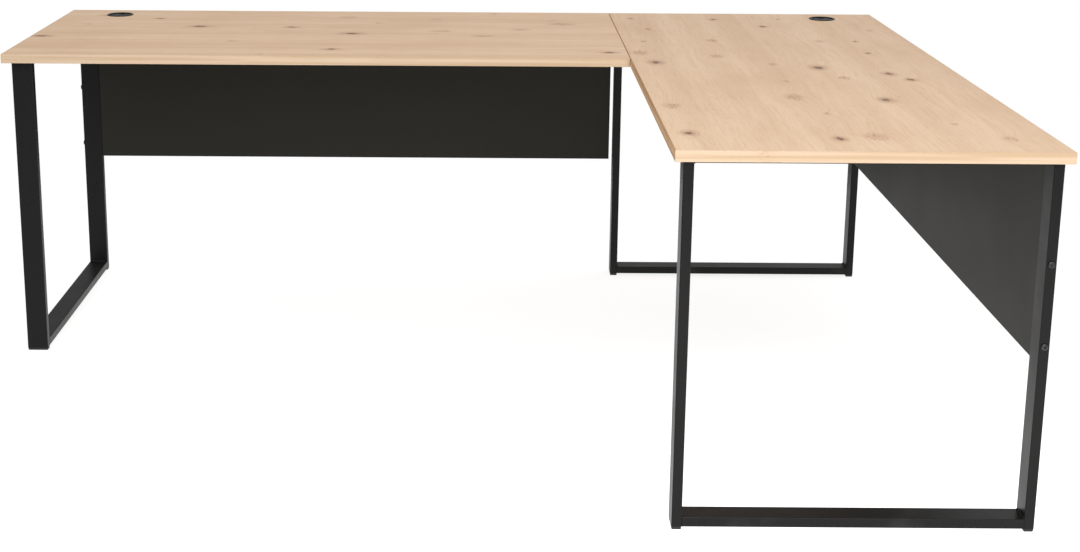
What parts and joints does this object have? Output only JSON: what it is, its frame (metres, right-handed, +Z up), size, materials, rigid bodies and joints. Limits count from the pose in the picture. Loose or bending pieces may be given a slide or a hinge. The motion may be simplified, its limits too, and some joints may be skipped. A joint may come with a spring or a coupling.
{
  "type": "corner desk",
  "caption": "L-shaped corner desk with a wood-decor worktop on tubular sled frames, modesty panels behind and cable grommets with turning caps.",
  "frame": {"origin": "on the floor, under the middle of the desk's rectangular outline in plan", "axes": "+X along the long back edge towards the side return, +Y from the user towards the back edge, +Z up"},
  "size_m": [2.23, 1.7, 0.7522],
  "materials": {
    "oak_decor_board": "matt knotty oak decor on particle board",
    "oak_edge_band": "matt oak decor edge band",
    "panel_board": "matt anthracite melamine on particle board",
    "panel_edge_band": "matt anthracite edge band",
    "frame_powder_coat": "black fine-texture powder coat on steel tube",
    "glide_plastic": "black moulded plastic",
    "grommet_plastic": "black moulded plastic, satin",
    "insert_brass": "turned brass",
    "black_fastener": "black zinc-plated steel",
    "screw_steel": "zinc-plated steel",
    "bracket_steel": "zinc-plated sheet steel"
  },
  "bodies": {
    "desk": {"corner_frame_floor_rail": "frame_powder_coat", "corner_frame_left_glide": "glide_plastic", "corner_frame_left_upright": "frame_powder_coat", "corner_frame_right_glide": "glide_plastic", "corner_frame_right_upright": "frame_powder_coat", "corner_frame_top_bar": "frame_powder_coat", "corner_frame_top_screws": "screw_steel", "joint_plate_back": "bracket_steel", "joint_plate_front": "bracket_steel", "joint_plate_middle": "bracket_steel", "joint_plate_screws": "screw_steel", "left_frame_floor_rail": "frame_powder_coat", "left_frame_front_glide": "glide_plastic", "left_frame_front_upright": "frame_powder_coat", "left_frame_rear_glide": "glide_plastic", "left_frame_rear_upright": "frame_powder_coat", "left_frame_top_bar": "frame_powder_coat", "left_frame_top_screws": "screw_steel", "left_grommet_sleeve": "grommet_plastic", "left_panel_board": "panel_board", "left_panel_bolts": "black_fastener", "left_panel_bottom_band": "panel_edge_band", "left_panel_bracket_middle": "bracket_steel", "left_panel_bracket_right": "bracket_steel", "left_panel_bracket_screws": "screw_steel", "left_panel_inserts": "insert_brass", "left_panel_left_band": "panel_edge_band", "left_panel_right_band": "panel_edge_band", "left_panel_top_band": "panel_edge_band", "left_top_back_band": "oak_edge_band", "left_top_board": "oak_decor_board", "left_top_front_band": "oak_edge_band", "left_top_left_band": "oak_edge_band", "left_top_right_band": "oak_edge_band", "near_frame_floor_rail": "frame_powder_coat", "near_frame_left_glide": "glide_plastic", "near_frame_left_upright": "frame_powder_coat", "near_frame_right_glide": "glide_plastic", "near_frame_right_upright": "frame_powder_coat", "near_frame_top_bar": "frame_powder_coat", "near_frame_top_screws": "screw_steel", "right_grommet_sleeve": "grommet_plastic", "right_top_back_band": "oak_edge_band", "right_top_board": "oak_decor_board", "right_top_front_band": "oak_edge_band", "right_top_left_band": "oak_edge_band", "right_top_right_band": "oak_edge_band", "side_panel_board": "panel_board", "side_panel_bottom_band": "panel_edge_band", "side_panel_front_band": "panel_edge_band", "side_panel_front_bolts": "black_fastener", "side_panel_inserts": "insert_brass", "side_panel_rear_band": "panel_edge_band", "side_panel_rear_bolts": "black_fastener", "side_panel_top_band": "panel_edge_band"},
    "left_cap": {"left_grommet_cap": "grommet_plastic"},
    "right_cap": {"right_grommet_cap": "grommet_plastic"}
  },
  "joints": [
    {"name": "left_cap_turn", "type": "hinge", "parent": "desk", "child": "left_cap", "pos_m": [-0.965, 0.76, 0.75], "axis": [0, 0, 1], "continuous": true},
    {"name": "right_cap_turn", "type": "hinge", "parent": "desk", "child": "right_cap", "pos_m": [0.965, 0.76, 0.75], "axis": [0, 0, 1], "continuous": true}
  ]
}
